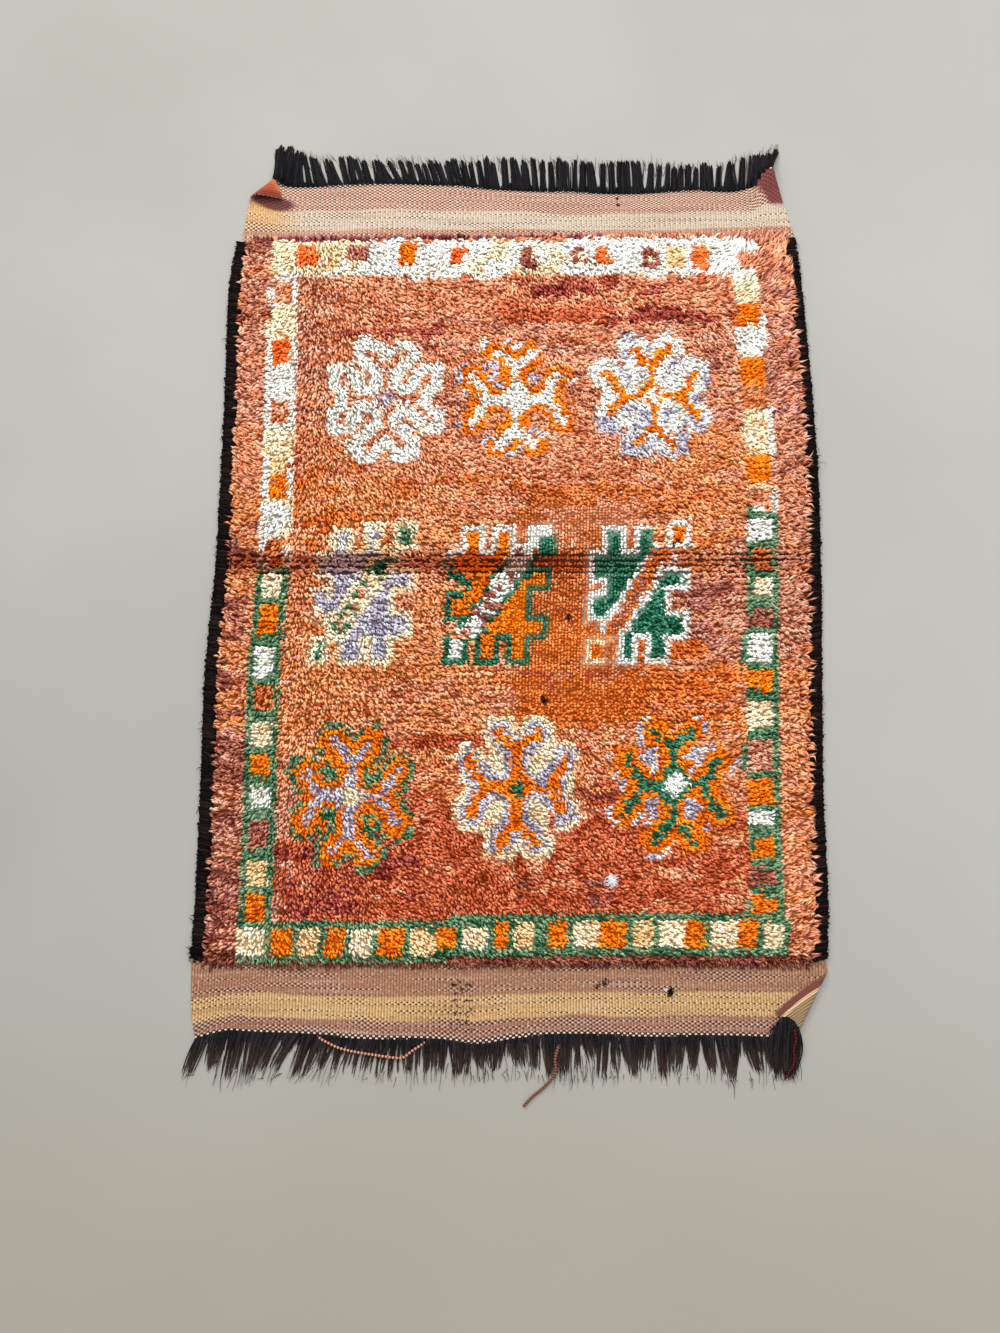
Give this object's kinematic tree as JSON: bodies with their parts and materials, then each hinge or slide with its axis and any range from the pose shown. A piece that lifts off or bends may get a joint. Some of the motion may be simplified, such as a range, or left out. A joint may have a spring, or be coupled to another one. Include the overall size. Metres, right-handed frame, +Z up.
{
  "type": "boujaad rug",
  "caption": "Hand-knotted wool pile rug lying flat, with flat-woven ends, goat-hair selvedges, fringed ends and curled or folded corners.",
  "frame": {"origin": "on the floor under the middle of the box around the rug, fringes included", "axes": "+Y along the rug towards the upper end of the picture, +X across it to the right, +Z up"},
  "size_m": [0.928, 1.4922, 0.0247],
  "materials": {
    "rug_wool": "matt hand-spun wool pile in salmon, rust and orange with green, cream, white and lavender figures",
    "goat_hair": "matt hairy black-brown goat hair",
    "warp_fringe": "soft black-brown warp ends"
  },
  "bodies": {
    "root": {"rug": "rug_wool", "selvedge_left": "goat_hair", "selvedge_right": "goat_hair", "fringe_top": "warp_fringe", "fringe_bottom": "warp_fringe"}
  },
  "joints": []
}
